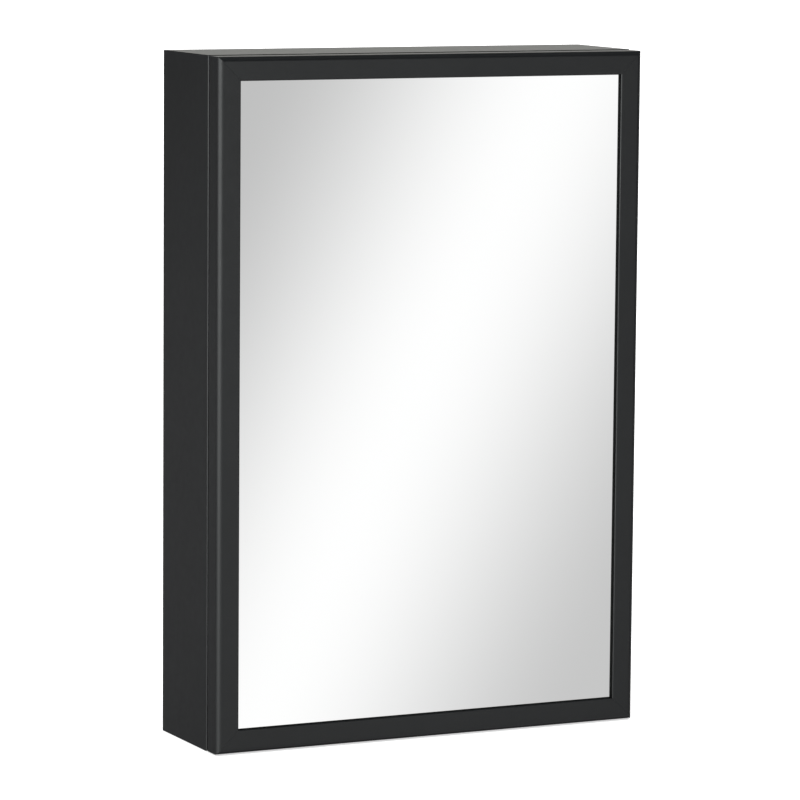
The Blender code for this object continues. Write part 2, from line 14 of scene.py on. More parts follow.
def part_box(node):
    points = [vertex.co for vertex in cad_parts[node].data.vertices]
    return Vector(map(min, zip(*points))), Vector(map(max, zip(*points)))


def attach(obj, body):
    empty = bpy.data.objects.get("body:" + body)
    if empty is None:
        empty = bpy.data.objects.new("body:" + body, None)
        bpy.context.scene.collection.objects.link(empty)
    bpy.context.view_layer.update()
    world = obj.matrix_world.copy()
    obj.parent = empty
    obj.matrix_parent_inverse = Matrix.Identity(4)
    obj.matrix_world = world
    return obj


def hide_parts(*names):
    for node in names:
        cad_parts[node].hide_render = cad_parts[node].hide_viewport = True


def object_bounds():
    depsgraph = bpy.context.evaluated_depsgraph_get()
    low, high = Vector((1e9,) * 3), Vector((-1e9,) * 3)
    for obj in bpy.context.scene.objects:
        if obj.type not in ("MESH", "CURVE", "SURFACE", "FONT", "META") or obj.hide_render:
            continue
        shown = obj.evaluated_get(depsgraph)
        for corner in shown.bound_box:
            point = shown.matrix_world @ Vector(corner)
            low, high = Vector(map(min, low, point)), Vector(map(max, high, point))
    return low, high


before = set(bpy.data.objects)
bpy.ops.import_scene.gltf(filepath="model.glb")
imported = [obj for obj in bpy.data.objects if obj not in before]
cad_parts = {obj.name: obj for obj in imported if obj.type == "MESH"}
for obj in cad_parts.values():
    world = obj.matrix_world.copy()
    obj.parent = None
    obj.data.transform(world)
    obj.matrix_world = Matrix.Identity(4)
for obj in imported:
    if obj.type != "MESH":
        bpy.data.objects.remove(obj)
cad_low, cad_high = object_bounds()

MM = 0.001

# The CAD frame's own sizes
WIDTH = (cad_high.x - cad_low.x) / MM
DEPTH = (cad_high.y - cad_low.y) / MM
HEIGHT = (cad_high.z - cad_low.z) / MM


def node_box(name):
    """A CAD node's corners in cabinet coordinates, in millimetres."""
    low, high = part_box(name)
    return (low - cad_low) / MM, (high - cad_low) / MM


def named(word):
    """The CAD nodes whose names hold a word."""
    return [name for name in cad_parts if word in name]


DOOR_HIGH = node_box("door_left_rail")[1]
DOOR_CLEARANCE = node_box("door_bottom_rail")[0].z
DOOR_DEPTH = DOOR_HIGH.y
FACE_WIDTH = DOOR_HIGH.x
BODY_FRONT = node_box("cabinet_left_side")[0].y
SIDE_THICKNESS = node_box("cabinet_left_side")[1].x
SIDES = ("left", "right", "top", "bottom")

# Mesh working values
MERGE_DISTANCE = 0.003  # points closer than this are one point
OVERCUT = 1.0  # cutters stand out of what they cut by about this
ROUND_SHARE = 0.48  # the most of a straight that the round at its end may take
SMOOTH_ANGLE = 35  # degrees between faces that shade as one surface
EDGE_ANGLE = 50  # degrees between faces whose shared edge gets a round

# Profiles
MITRE_GAP = 0.06  # from the diagonal to each mitred end
PROFILE_EDGE = 0.07
FRAME_ROUND = 4.5
FRAME_WALL = 1.4
REAR_ROUND = 2.4
LIP_DEPTH = 3.0
LIP_ROUND = 0.8
CHAMBER_WIDTH = 14.0
REBATE_INNER = 8.0
REBATE_DEPTH = 1.2
SIDE_WALL = 1.4
SIDE_ROUND = 1.2
SIDE_INNER_ROUND = 0.5
SIDE_RIB = 69.0
GROOVE_FRONT = DEPTH - 5.5
GROOVE_REAR = DEPTH - 4.0
GROOVE_FLOOR = 7.0

# Holes for the shelf pins
PIN_HOLE_RADIUS = 2.6
PIN_COLUMNS = (50.0, 98.0)
PIN_ROWS = tuple(140.0 + 32.0 * row for row in range(11))

# The pockets in the door's left stile, where the hinges sit
HINGE_HEIGHTS = (90.0, 510.0)
POCKET_HEIGHT = 25.0
POCKET_LEFT, POCKET_RIGHT, POCKET_FRONT = 1.6, 21.5, 7.45
POCKET_OVERCUT = 4.0

# Sheets, mirror and shelves
SHEET_EDGE = 0.15
MIRROR_EDGE = 0.5
SHELF_EDGE = 0.7
# The seal is a dark matte bead that paints the shade in the recess round the mirror
SEAL_HIDDEN, SEAL_SHOWN = 0.5, 0.28  # widths under the lip and beside it
SEAL_FRONT = 1.0
SEAL_CLEARANCE = 0.02

# Hinges
HINGE_X, HINGE_Y = 4.8, 10.5
ARM_HEIGHT = 22.0
ARM_THICKNESS = 1.6
ARM_CLEARANCE = 0.2
ARM_FLAT = SIDE_THICKNESS + ARM_CLEARANCE + ARM_THICKNESS / 2  # middle of the part that is screwed on
ARM_BEND = 2.2
ARM_NECK = 18.6
ARM_SHOULDER = BODY_FRONT + 4.5
ARM_END = BODY_FRONT + 42.0
ARM_CORNER = 4.0
ARM_CORNER_OVERCUT = 0.02  # the corners' rounds end this far outside the strip's edges
ARM_TURN = 76  # degrees of each bend behind the shoulder
ARM_TRIM_DEPTH = 40.0  # of the shape that the strip's rear end is trimmed to
ARM_EDGE = 0.12
EYE_RADIUS = 2.5
EYE_BORE = 1.35
HINGE_PIN_RADIUS = 1.2
HINGE_PIN_EDGE = 0.35
HINGE_PIN_CLEARANCE = 0.1
BLOCK_NOTCH = 24.6
BLOCK_WEB = 7.4
BLOCK_EDGE = 0.5

# Screws
HEAD_RADIUS = 2.2
HEAD_HEIGHT = 0.95
HEAD_BRIM = 0.3  # share of the head's height that is upright
HEAD_EDGE = 0.08
SHANK_RADIUS = 1.15
SHANK_ROUND = 0.35
SCREW_HOLE = 1.3
SCREW_SIDES = 36  # no edge of the head runs through a corner of its cross recess
CROSS_REACH, CROSS_HALF, CROSS_DEPTH = 1.25, 0.27, 0.62
CROSS_PROUD = 0.3  # how far the cutter stands above the head
CROSS_FLOOR = 0.55  # size of the recess at its floor, against its mouth

# Shelf pins
PIN_RADIUS = 2.45
PIN_PEG, PIN_COLLAR, PIN_STUB = 9.0, 1.5, 6.0
PEG_ROUND, COLLAR_ROUND, STUB_ROUND = 0.7, 0.45, 0.6
COLLAR_RADIUS = 4.0
COLLAR_CLEARANCE = 0.15

# Catch and bumpers
CASE_EDGE, CASE_WINDOW_EDGE = 1.2, 0.12
MAGNET_CLEARANCE = 0.3
MAGNET_EDGE = 0.4
POLE_GROOVE_OFFSET, POLE_GROOVE_HALF, POLE_GROOVE_DEPTH = 1.9, 0.15, 0.35
PLATE_CORNER = 2.5
PLATE_HOLE = 2.5
PLATE_EDGE = 0.15
BUMPER_BRIM = 0.35  # share of the bumper's height that is upright

# Holes in the back
KEYHOLE_SPREAD, KEYHOLE_HEIGHT = 100.0, 536.0
KEYHOLE_RADIUS, KEYHOLE_SLOT, KEYHOLE_RISE = 5.5, 5.0, 13.0
LOWER_HOLE_HEIGHT, LOWER_HOLE_RADIUS = 60.0, 2.6

# Lengths of the rods that cut holes
WALL_CUT = 2 * SIDE_WALL + OVERCUT
SHEET_CUT, SEAT_CUT, PLATE_CUT, CASE_CUT, BLOCK_CUT = 6.0, 8.0, 12.0, 40.0, 60.0


def place(x, y, z):
    """A point in cabinet coordinates, as metres in the row frame."""
    return cad_low + Vector((x, y, z)) * MM


# ------------------------------------------------------------------ materials


class Nodes:
    """A node tree, with short calls that add a node and link two sockets."""

    def __init__(self, tree):
        self.tree = tree

    def node(self, kind, **settings):
        made = self.tree.nodes.new(kind)
        for key, value in settings.items():
            setattr(made, key, value)
        return made

    def link(self, source, target):
        self.tree.links.new(source, target)


class Shader(Nodes):
    """A material's node tree, with short calls for the nodes that the finishes use."""

    def __init__(self, name):
        self.material = bpy.data.materials.new(name)
        self.material.use_nodes = True
        super().__init__(self.material.node_tree)
        self.surface = self.tree.nodes["Principled BSDF"]
        self.position = self.node("ShaderNodeTexCoord").outputs["Object"]

    def set(self, **values):
        """Fixed values go on the shader's own sockets."""
        for name, value in values.items():
            socket = name.replace("_", " ").title().replace("Ior", "IOR")
            self.surface.inputs[socket].default_value = value

    def noise(self, scale, detail=2, roughness=0.5):
        """A cloudy value; the scale is in cells to a metre."""
        texture = self.node("ShaderNodeTexNoise")
        texture.inputs["Scale"].default_value = scale
        texture.inputs["Detail"].default_value = detail
        texture.inputs["Roughness"].default_value = roughness
        self.link(self.position, texture.inputs["Vector"])
        return texture.outputs["Fac"]

    def spread(self, value, low, high, start=0.3, end=0.7):
        """A texture's value from start to end, carried to low to high."""
        remap = self.node("ShaderNodeMapRange")
        remap.inputs["From Min"].default_value = start
        remap.inputs["From Max"].default_value = end
        remap.inputs["To Min"].default_value = low
        remap.inputs["To Max"].default_value = high
        self.link(value, remap.inputs["Value"])
        return remap.outputs["Result"]

    def mottled(self, dark, light, scale, detail=2, roughness=0.5):
        """A colour that wanders between two others."""
        mix = self.node("ShaderNodeMix", data_type="RGBA")
        self.link(self.spread(self.noise(scale, detail, roughness), 0, 1), mix.inputs["Factor"])
        mix.inputs["A"].default_value = (*dark, 1)
        mix.inputs["B"].default_value = (*light, 1)
        return mix.outputs["Result"]

    def bump(self, height, strength, distance):
        """Relief for the surface; the distance is in metres."""
        bump = self.node("ShaderNodeBump")
        bump.inputs["Strength"].default_value = strength
        bump.inputs["Distance"].default_value = distance
        self.link(height, bump.inputs["Height"])
        self.link(bump.outputs["Normal"], self.surface.inputs["Normal"])

    def colour(self, socket):
        self.link(socket, self.surface.inputs["Base Color"])

    def rough(self, low, high, scale, detail=2):
        """A roughness that wanders between two values."""
        value = self.spread(self.noise(scale, detail), low, high)
        self.link(value, self.surface.inputs["Roughness"])


def black_coat():
    """Satin black powder coat: a fine orange peel over a nearly neutral black."""
    made = Shader("black_powder_coat")
    made.colour(made.mottled((0.0061, 0.0067, 0.0074), (0.0077, 0.0085, 0.0093), 9, 3))
    made.rough(0.29, 0.34, 140, 3)
    made.set(ior=1.5)
    made.bump(made.noise(620, 2, 0.6), 0.10, 0.0002)
    return made.material


def silvering():
    """A bright flat mirror with the slightest unevenness of the silver."""
    made = Shader("silvered_mirror")
    made.colour(made.mottled((0.930, 0.934, 0.932), (0.940, 0.943, 0.942), 3))
    made.rough(0.012, 0.022, 60)
    made.set(metallic=1.0)
    return made.material


def shelf_glass():
    """Clear float glass with ground edges, which are rougher and greener than its faces."""
    made = Shader("clear_shelf_glass")
    facing = made.node("ShaderNodeSeparateXYZ")
    made.link(made.node("ShaderNodeNewGeometry").outputs["Normal"], facing.inputs["Vector"])
    upright = made.node("ShaderNodeMath", operation="ABSOLUTE")
    made.link(facing.outputs["Z"], upright.inputs[0])
    face = made.spread(upright.outputs["Value"], 0, 1, 0.55, 0.9)
    both = made.node("ShaderNodeMix", data_type="RGBA")
    made.link(face, both.inputs["Factor"])
    made.link(made.mottled((0.36, 0.62, 0.52), (0.44, 0.70, 0.60), 260, 3), both.inputs["A"])
    made.link(made.mottled((0.88, 0.955, 0.925), (0.90, 0.965, 0.94), 6), both.inputs["B"])
    made.colour(both.outputs["Result"])
    fine = made.node("ShaderNodeMath", operation="MULTIPLY")
    made.link(made.spread(face, 0.32, 0.012, 0, 1), fine.inputs[0])
    made.link(made.spread(made.noise(900), 0.8, 1.2), fine.inputs[1])
    made.link(fine.outputs["Value"], made.surface.inputs["Roughness"])
    made.set(ior=1.52, transmission_weight=1.0)
    return made.material


def zinc_steel():
    made = Shader("zinc_plated_steel")
    made.colour(made.mottled((0.50, 0.51, 0.53), (0.64, 0.65, 0.66), 240, 3))
    made.rough(0.26, 0.38, 900)
    made.set(metallic=1.0)
    made.bump(made.noise(1500), 0.05, 0.0001)
    return made.material


def moulded_black():
    made = Shader("moulded_black_plastic")
    made.colour(made.mottled((0.016, 0.016, 0.017), (0.024, 0.024, 0.025), 40))
    made.rough(0.42, 0.56, 700)
    made.bump(made.noise(1400, 2, 0.7), 0.25, 0.0001)
    return made.material


def grey_rubber():
    made = Shader("soft_bumper_rubber")
    made.colour(made.mottled((0.050, 0.050, 0.052), (0.066, 0.066, 0.068), 120))
    made.rough(0.62, 0.78, 500)
    made.bump(made.noise(900, 3), 0.2, 0.0001)
    return made.material


def fibre_board():
    made = Shader("fibre_board")
    made.colour(made.mottled((0.21, 0.145, 0.095), (0.36, 0.27, 0.19), 700, 4, 0.7))
    made.rough(0.78, 0.92, 300)
    made.bump(made.noise(1200, 4, 0.7), 0.5, 0.0002)
    return made.material


# A near-black matte finish with little shine, for the bead that stands in for the shade in the recess
# round the mirror: painted shade
def matte_painted_shade_seal():
    made = Shader("matte_black_painted_shade_seal")
    made.colour(made.mottled((0.0045, 0.0047, 0.0048), (0.0062, 0.0064, 0.0064), 90))
    made.rough(0.70, 0.85, 600)
    made.set(specular_ior_level=0.08)
    return made.material


COAT = black_coat()
MIRROR = silvering()
GLASS = shelf_glass()
ZINC = zinc_steel()
PLASTIC = moulded_black()
RUBBER = grey_rubber()
BOARD = fibre_board()
PAINTED_SHADE_SEAL = matte_painted_shade_seal()


# ------------------------------------------------------------------ mesh helpers


def mesh_from(bm):
    """A mesh of the given faces, all facing out."""
    bmesh.ops.recalc_face_normals(bm, faces=bm.faces)
    if bm.calc_volume(signed=True) < 0:
        bmesh.ops.reverse_faces(bm, faces=bm.faces)
    mesh = bpy.data.meshes.new("shape")
    bm.to_mesh(mesh)
    bm.free()
    return mesh


def arc(centre, radius, start, end, steps):
    """Points along an arc, its ends included; start and end are in degrees."""
    points = []
    for step in range(steps + 1):
        angle = math.radians(start + (end - start) * step / steps)
        points.append((centre[0] + radius * math.cos(angle), centre[1] + radius * math.sin(angle)))
    return points


def extruded(loops, low, high, to_world):
    """A mesh of flat outlines, holes included, drawn in (a, b) and pulled from low to high."""
    curve = bpy.data.curves.new("outline", "CURVE")
    curve.dimensions = "2D"
    curve.fill_mode = "BOTH"
    curve.extrude = (high - low) / 2 * MM
    for loop in loops:
        spline = curve.splines.new("POLY")
        spline.points.add(len(loop) - 1)
        for point, (a, b) in zip(spline.points, loop):
            point.co = (a * MM, b * MM, 0, 1)
        spline.use_cyclic_u = True
    guide = bpy.data.objects.new("outline", curve)
    bpy.context.scene.collection.objects.link(guide)
    bpy.context.view_layer.update()
    evaluated = guide.evaluated_get(bpy.context.evaluated_depsgraph_get())
    mesh = bpy.data.meshes.new_from_object(evaluated)
    bpy.data.objects.remove(guide, do_unlink=True)
    bm = bmesh.new()
    bm.from_mesh(mesh)
    bpy.data.meshes.remove(mesh)
    bmesh.ops.remove_doubles(bm, verts=bm.verts, dist=MERGE_DISTANCE * MM)
    middle = (low + high) / 2
    for vert in bm.verts:
        vert.co = to_world(vert.co.x / MM, vert.co.y / MM, vert.co.z / MM + middle)
    return mesh_from(bm)


def block(low, high):
    """A box between two corners."""
    bm = bmesh.new()
    bmesh.ops.create_cube(bm, size=1)
    low, high = place(*low), place(*high)
    size = high - low
    bmesh.ops.transform(bm, matrix=Matrix.Diagonal((*size, 1)), verts=bm.verts)
    bmesh.ops.translate(bm, vec=(low + high) / 2, verts=bm.verts)
    return mesh_from(bm)


def rods(centres, radius, length, axis, sides=24):
    """Equal rods about the given middles, for cutting holes."""
    bm = bmesh.new()
    turn = Vector(axis).to_track_quat("Z", "Y").to_matrix().to_4x4()
    for centre in centres:
        bmesh.ops.create_cone(
            bm,
            cap_ends=True,
            segments=sides,
            radius1=radius * MM,
            radius2=radius * MM,
            depth=length * MM,
            matrix=Matrix.Translation(place(*centre)) @ turn,
        )
    return mesh_from(bm)


def turned_mesh(profile, centre, axis, sides=32):
    """A mesh turned about an axis; the profile runs from its top at the axis to its bottom."""
    bm = bmesh.new()
    turn = Vector(axis).to_track_quat("Z", "Y").to_matrix()
    middle = place(*centre)
    rings = []
    for radius, height in profile:
        ring = []
        for side in range(sides if radius > 0 else 1):
            angle = 2 * math.pi * side / sides
            point = Vector((radius * math.cos(angle), radius * math.sin(angle), height)) * MM
            ring.append(bm.verts.new(middle + turn @ point))
        rings.append(ring)
    for upper, lower in zip(rings, rings[1:]):
        for side in range(sides):
            after = (side + 1) % sides
            corners = [upper[side % len(upper)], upper[after % len(upper)]]
            corners += [lower[after % len(lower)], lower[side % len(lower)]]
            bm.faces.new(list(dict.fromkeys(corners)))
    return mesh_from(bm)


def domed(radius, height, brim):
    """Half the section of a dome, from its top at the axis to the foot of its upright brim."""
    steps = 8
    points = []
    for step in range(steps + 1):
        angle = math.radians(90 * step / steps)
        points.append((radius * math.sin(angle), height * (brim + (1 - brim) * math.cos(angle))))
    return points


def eased(path, radius, steps=5, closed=False):
    """The path with its corners rounded; an open path keeps its ends."""
    if closed:
        corners = list(zip(path[-1:] + path[:-1], path, path[1:] + path[:1]))
        made = []
    else:
        corners = list(zip(path, path[1:], path[2:]))
        made = [tuple(path[0])]
    for before, corner, after in corners:
        corner = Vector(corner)
        back, onward = Vector(before) - corner, Vector(after) - corner
        reach = min(radius, back.length * ROUND_SHARE, onward.length * ROUND_SHARE)
        start = corner + back.normalized() * reach
        end = corner + onward.normalized() * reach
        for step in range(steps + 1):
            share = step / steps
            made.append(tuple(start.lerp(corner, share).lerp(corner.lerp(end, share), share)))
    return made if closed else made + [tuple(path[-1])]


def cross_cutter(top, out, along, across):
    """A cutter for a cross recess; it stands proud of the screw's head and tapers to its floor."""
    quarter = ((CROSS_REACH, -CROSS_HALF), (CROSS_REACH, CROSS_HALF), (CROSS_HALF, CROSS_HALF))
    outline = []
    for arm in range(4):
        turn = Matrix.Rotation(math.radians(90 * arm), 2)
        outline += [turn @ Vector(point) for point in quarter]
    bm = bmesh.new()
    rings = []
    for height, scale in ((CROSS_PROUD, 1.0), (0.0, 1.0), (-CROSS_DEPTH, CROSS_FLOOR)):
        points = [top + out * height + (along * a + across * b) * scale for a, b in outline]
        rings.append([bm.verts.new(place(*point)) for point in points])
    for upper, lower in zip(rings, rings[1:]):
        for side in range(len(outline)):
            after = (side + 1) % len(outline)
            bm.faces.new((upper[side], upper[after], lower[after], lower[side]))
    bm.faces.new(rings[0])
    bm.faces.new(rings[-1])
    return mesh_from(bm)


def piece(name, mesh, finish, body, slot, *stands_for):
    """A visible piece that rides on a CAD body and stands for CAD nodes."""
    obj = bpy.data.objects.new(name, mesh)
    mesh.name = name
    mesh.materials.clear()
    mesh.materials.append(finish)
    bpy.context.scene.collection.objects.link(obj)
    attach(obj, body)
    if stands_for:
        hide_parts(*stands_for)
    return obj


def cut(obj, *meshes, operation="DIFFERENCE"):
    """Cut meshes from the object, or keep only what lies inside them."""
    for mesh in meshes:
        cutter = bpy.data.objects.new("cutter", mesh)
        bpy.context.scene.collection.objects.link(cutter)
        modifier = obj.modifiers.new("cut", "BOOLEAN")
        modifier.operation = operation
        modifier.solver = "EXACT"
        modifier.object = cutter
        bake(obj)
        weld(obj.data)
        bpy.data.objects.remove(cutter, do_unlink=True)


def bake(obj):
    """Apply the object's modifiers to its mesh."""
    bpy.context.view_layer.update()
    evaluated = obj.evaluated_get(bpy.context.evaluated_depsgraph_get())
    mesh = bpy.data.meshes.new_from_object(evaluated)
    obj.modifiers.clear()
    old = obj.data
    obj.data = mesh
    bpy.data.meshes.remove(old)
    mesh.name = obj.name


def weld(mesh):
    """Merge the points that a cut leaves on top of each other."""
    bm = bmesh.new()
    bm.from_mesh(mesh)
    bmesh.ops.remove_doubles(bm, verts=bm.verts, dist=MERGE_DISTANCE * MM)
    bm.to_mesh(mesh)
    bm.free()


def soften(obj, width, segments=3, angle=EDGE_ANGLE):
    """Round the sharp edges, if a width is given; keep the flats flat and shade the rounds smooth."""
    if width:
        bevel = obj.modifiers.new("soft edges", "BEVEL")
        bevel.width = width * MM
        bevel.segments = segments
        bevel.limit_method = "ANGLE"
        bevel.angle_limit = math.radians(angle)
        bake(obj)
    obj.data.shade_smooth()
    obj.data.set_sharp_from_angle(angle=math.radians(SMOOTH_ANGLE))
    weighted = obj.modifiers.new("flat flats", "WEIGHTED_NORMAL")
    weighted.mode = "FACE_AREA"
    weighted.weight = 100
    weighted.keep_sharp = True
    bake(obj)


# ------------------------------------------------------------------ profiles


def door_profile():
    """The door frame's section: u in from the outer edge, y back from the front face."""
    outer = arc((FRAME_ROUND, FRAME_ROUND), FRAME_ROUND, 180, 270, 14)
    outer += arc((FACE_WIDTH - LIP_ROUND, LIP_ROUND), LIP_ROUND, 270, 360, 6)
    rebate = DOOR_DEPTH - REBATE_DEPTH
    outer += [(FACE_WIDTH, LIP_DEPTH), (CHAMBER_WIDTH, LIP_DEPTH), (CHAMBER_WIDTH, rebate)]
    outer += [(REBATE_INNER, rebate), (REBATE_INNER, DOOR_DEPTH)]
    outer += arc((REAR_ROUND, DOOR_DEPTH - REAR_ROUND), REAR_ROUND, 90, 180, 6)
    inside = CHAMBER_WIDTH - FRAME_WALL
    hollow = arc((FRAME_ROUND, FRAME_ROUND), FRAME_ROUND - FRAME_WALL, 180, 270, 6)
    hollow += [(inside, FRAME_WALL), (inside, rebate - FRAME_WALL)]
    hollow += [(REBATE_INNER - FRAME_WALL, rebate - FRAME_WALL)]
    hollow += [(REBATE_INNER - FRAME_WALL, DOOR_DEPTH - FRAME_WALL)]
    hollow += [(FRAME_WALL, DOOR_DEPTH - FRAME_WALL)]
    return [outer, hollow]


def side_profile():
    """The cabinet side's section: u in from the outer face, y back from the door's front."""
    outer = arc((SIDE_ROUND, BODY_FRONT + SIDE_ROUND), SIDE_ROUND, 180, 270, 6)
    inner_round = (SIDE_THICKNESS - SIDE_INNER_ROUND, BODY_FRONT + SIDE_INNER_ROUND)
    outer += arc(inner_round, SIDE_INNER_ROUND, 270, 360, 3)
    outer += [(SIDE_THICKNESS, GROOVE_FRONT), (GROOVE_FLOOR, GROOVE_FRONT)]
    outer += [(GROOVE_FLOOR, GROOVE_REAR), (SIDE_THICKNESS, GROOVE_REAR), (SIDE_THICKNESS, DEPTH)]
    outer += arc((SIDE_ROUND, DEPTH - SIDE_ROUND), SIDE_ROUND, 90, 180, 6)
    inside = SIDE_THICKNESS - SIDE_WALL
    hollows = []
    front = BODY_FRONT + SIDE_WALL
    for low, high in ((front, SIDE_RIB - SIDE_WALL), (SIDE_RIB, GROOVE_FRONT - SIDE_WALL)):
        hollows.append([(SIDE_WALL, low), (inside, low), (inside, high), (SIDE_WALL, high)])
    return [outer] + hollows


def rail(name, profile, side, clearance, body):
    """One side of a mitred rectangle, standing for the CAD node of the same name."""
    half = (HEIGHT / 2 - clearance) if side in ("left", "right") else WIDTH / 2

    def to_world(u, y, t):
        """A point of the section, at the far end where t is positive and at the near end elsewhere."""
        end = half - u - MITRE_GAP
        along = end if t > 0 else -end
        if side == "left":
            return place(u, y, HEIGHT / 2 + along)
        if side == "right":
            return place(WIDTH - u, y, HEIGHT / 2 + along)
        if side == "top":
            return place(WIDTH / 2 + along, y, HEIGHT - clearance - u)
        return place(WIDTH / 2 + along, y, clearance + u)

    mesh = extruded(profile, -1, 1, to_world)
    return piece(f"{name}_shell", mesh, COAT, body, "coated_profile", name)


def pocket(height):
    """A cutter for the pocket that takes a hinge."""
    low = (POCKET_LEFT, POCKET_FRONT, height - POCKET_HEIGHT / 2)
    high = (POCKET_RIGHT, DOOR_DEPTH + POCKET_OVERCUT, height + POCKET_HEIGHT / 2)
    return block(low, high)


def screw_centres():
    """The middles of the screws' CAD boxes, by the words that their names hold."""
    kinds = ["_arm_screw_", "_block_screw_", "catch_screw_", "catch_plate_screw"]
    kinds += [f"sheet_screw_{side}" for side in SIDES]
    found = {}
    for kind in kinds:
        found[kind] = [tuple(sum(node_box(name), Vector()) / 2) for name in named(kind)]
    return found


SCREWS = screw_centres()


def cabinet_shell():
    """The four mitred sides, with holes for the shelf pins and the screws."""
    for side in SIDES:
        obj = rail(f"cabinet_{side}_side", side_profile(), side, 0, "cabinet")
        wall = {"left": SIDE_THICKNESS, "right": WIDTH - SIDE_THICKNESS}.get(side)
        if wall:
            holes = [(wall, y, z) for y in PIN_COLUMNS for z in PIN_ROWS]
            cut(obj, rods(holes, PIN_HOLE_RADIUS, WALL_CUT, (1, 0, 0)))
            screws = SCREWS["_arm_screw_" if side == "left" else "catch_screw_"]
            holes = [(wall, y, z) for x, y, z in screws]
            cut(obj, rods(holes, SCREW_HOLE, WALL_CUT, (1, 0, 0), 16))
        soften(obj, PROFILE_EDGE, segments=2, angle=60)


def door_shell():
    """The four mitred rails, with the hinges' pockets and the screws' holes."""
    for side in SIDES:
        obj = rail(f"door_{side}_rail", door_profile(), side, DOOR_CLEARANCE, "door")
        screws = SCREWS[f"sheet_screw_{side}"]
        if side == "left":
            cut(obj, *[pocket(height) for height in HINGE_HEIGHTS])
            screws = screws + SCREWS["_block_screw_"]
        holes = [(x, DOOR_DEPTH, z) for x, y, z in screws]
        cut(obj, rods(holes, SCREW_HOLE, SHEET_CUT, (0, 1, 0), 16))
        soften(obj, PROFILE_EDGE, segments=2, angle=60)


def mirror_panel():
    low, high = node_box("mirror")
    obj = piece("mirror_panel", block(low, high), MIRROR, "door", "mirror_glass", "mirror")
    soften(obj, MIRROR_EDGE, segments=2)


def mirror_painted_shade_seal():
    """A thin soft near-black bead between the frame's lip and the mirror, painted shade for the dark
    recess there.
    """
    rings = []
    for edge in (FACE_WIDTH - SEAL_HIDDEN, FACE_WIDTH + SEAL_SHOWN):
        left, right = edge, WIDTH - edge
        low, high = edge + DOOR_CLEARANCE, HEIGHT - edge - DOOR_CLEARANCE
        rings.append([(left, low), (right, low), (right, high), (left, high)])
    rear = node_box("mirror")[0].y - SEAL_CLEARANCE
    mesh = extruded(rings, SEAL_FRONT, rear, lambda x, z, y: place(x, y, z))
    soften(piece("mirror_painted_shade_seal", mesh, PAINTED_SHADE_SEAL, "door", "rubber"), 0)


# ------------------------------------------------------------------ fittings


def screw(name, body, out):
    """A pan-head screw with a cross recess; out is the way its head faces."""
    low, high = node_box(name)
    out = Vector(out)
    middle, half = (low + high) / 2, (high - low) / 2
    reach = abs(half.dot(out))
    length = 2 * reach - HEAD_HEIGHT
    seat = middle + out * (reach - HEAD_HEIGHT)
    head = domed(HEAD_RADIUS, HEAD_HEIGHT, HEAD_BRIM)
    head += [(HEAD_RADIUS, HEAD_EDGE), (HEAD_RADIUS - HEAD_EDGE, 0)]
    shank = eased([(SHANK_RADIUS, 0), (SHANK_RADIUS, -length), (0, -length)], SHANK_ROUND, 3)
    mesh = turned_mesh(head + shank, seat, out, SCREW_SIDES)
    obj = piece(f"{name}_body", mesh, ZINC, body, "zinc_steel", name)
    upright = Vector((0, 0, 1))
    cut(obj, cross_cutter(seat + out * HEAD_HEIGHT, out, upright, out.cross(upright)))
    soften(obj, 0)


def all_screws():
    for word, body, out in (
        ("sheet_screw_", "door", (0, 1, 0)),
        ("_block_screw_", "door", (0, 1, 0)),
        ("catch_plate_screw", "door", (0, 1, 0)),
        ("_arm_screw_", "cabinet", (1, 0, 0)),
        ("catch_screw_", "cabinet", (-1, 0, 0)),
    ):
        for name in named(word):
            screw(name, body, out)


def shelf_pins():
    """Turned pins: a stub in the side's hole, a collar on the wall and a peg under the glass."""
    peg = eased([(0, PIN_PEG), (PIN_RADIUS, PIN_PEG), (PIN_RADIUS, PIN_COLLAR)], PEG_ROUND)
    collar = [peg[-1], (COLLAR_RADIUS, PIN_COLLAR)]
    collar += [(COLLAR_RADIUS, COLLAR_CLEARANCE), (PIN_RADIUS, COLLAR_CLEARANCE)]
    collar = eased(collar, COLLAR_ROUND)
    stub = eased([collar[-1], (PIN_RADIUS, -PIN_STUB), (0, -PIN_STUB)], STUB_ROUND)
    profile = peg[:-1] + collar[:-1] + stub
    for name in named("_shelf_pin_"):
        left = "_left_" in name
        middle = sum(node_box(name), Vector()) / 2
        middle.x = SIDE_THICKNESS if left else WIDTH - SIDE_THICKNESS
        mesh = turned_mesh(profile, middle, (1 if left else -1, 0, 0), 40)
        soften(piece(f"{name}_body", mesh, ZINC, "cabinet", "zinc_steel", name), 0)


def glass_shelves():
    for name in named("_glass_shelf"):
        obj = piece(f"{name}_pane", block(*node_box(name)), GLASS, "cabinet", "clear_glass", name)
        soften(obj, SHELF_EDGE, segments=4)


def thick_line(path, half):
    """The outline of a strip that follows a path, half its thickness to each side."""
    left, right = [], []
    for index, (x, y) in enumerate(path):
        before = Vector(path[max(index - 1, 0)])
        after = Vector(path[min(index + 1, len(path) - 1)])
        direction = (after - before).normalized()
        left.append((x - direction.y * half, y + direction.x * half))
        right.append((x + direction.y * half, y - direction.x * half))
    return left + right[::-1]


